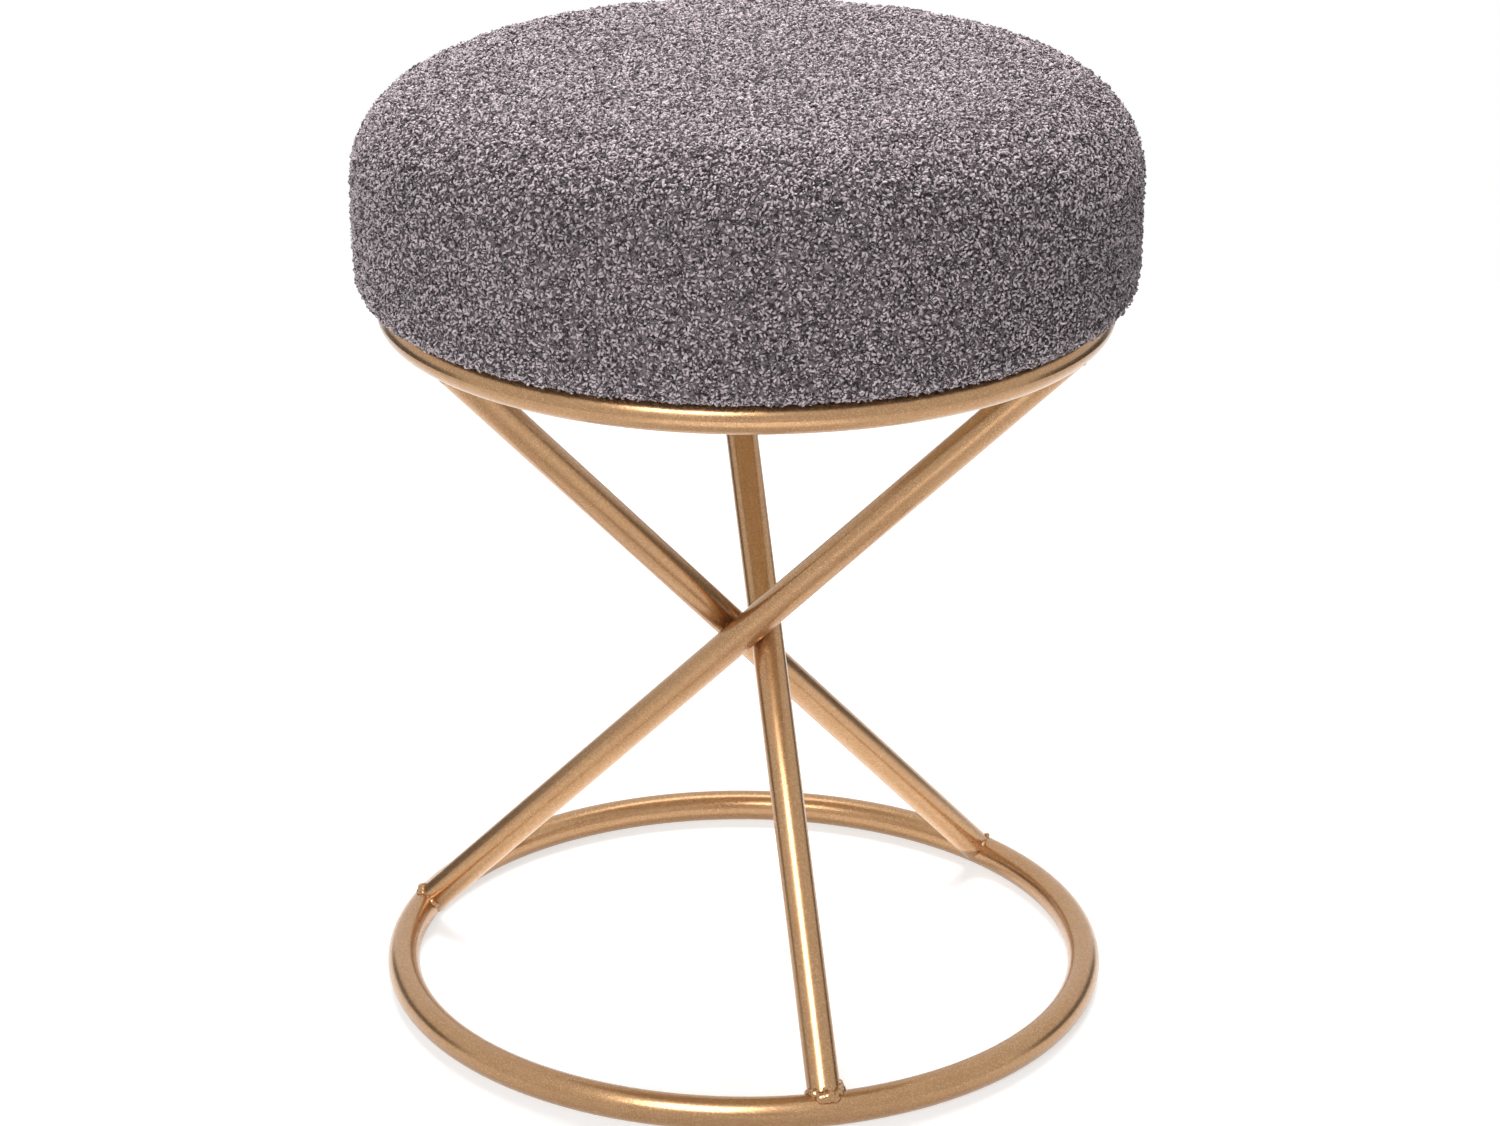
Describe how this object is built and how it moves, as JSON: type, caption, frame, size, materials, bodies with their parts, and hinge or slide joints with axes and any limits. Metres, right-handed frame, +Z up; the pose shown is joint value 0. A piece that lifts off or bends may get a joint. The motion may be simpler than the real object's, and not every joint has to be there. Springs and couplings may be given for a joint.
{
  "type": "upholstered stool",
  "caption": "Round upholstered stool with a thick curly-pile cushion on a twisted hourglass frame of leaning round tubes welded between a seat ring and a floor ring.",
  "frame": {"origin": "on the floor under the middle of the seat", "axes": "+Z up, -Y towards the side the picture was taken from, +X to its right"},
  "size_m": [0.3729, 0.373, 0.469],
  "materials": {
    "frame_paint": "satin champagne gold metallic paint",
    "boucle": "mauve grey curly pile",
    "foam": "open-cell upholstery foam",
    "plywood": "unfinished plywood",
    "dust_cloth": "beige non-woven cloth",
    "zinc": "zinc plated"
  },
  "bodies": {
    "root": {"base_ring": "frame_paint", "seat_ring": "frame_paint", "leg_1": "frame_paint", "leg_2": "frame_paint", "leg_3": "frame_paint", "foot_welds": "frame_paint", "head_welds": "frame_paint", "waist_welds": "frame_paint", "seat_tab_1": "frame_paint", "seat_tab_2": "frame_paint", "seat_tab_3": "frame_paint", "tab_welds": "frame_paint", "seat_cover": "boucle", "foam_pad": "foam", "seat_board": "plywood", "dust_cover": "dust_cloth", "cover_staples": "zinc", "dust_staples": "zinc", "tee_nuts": "zinc", "seat_screws": "zinc", "screw_washers": "zinc"}
  },
  "joints": []
}
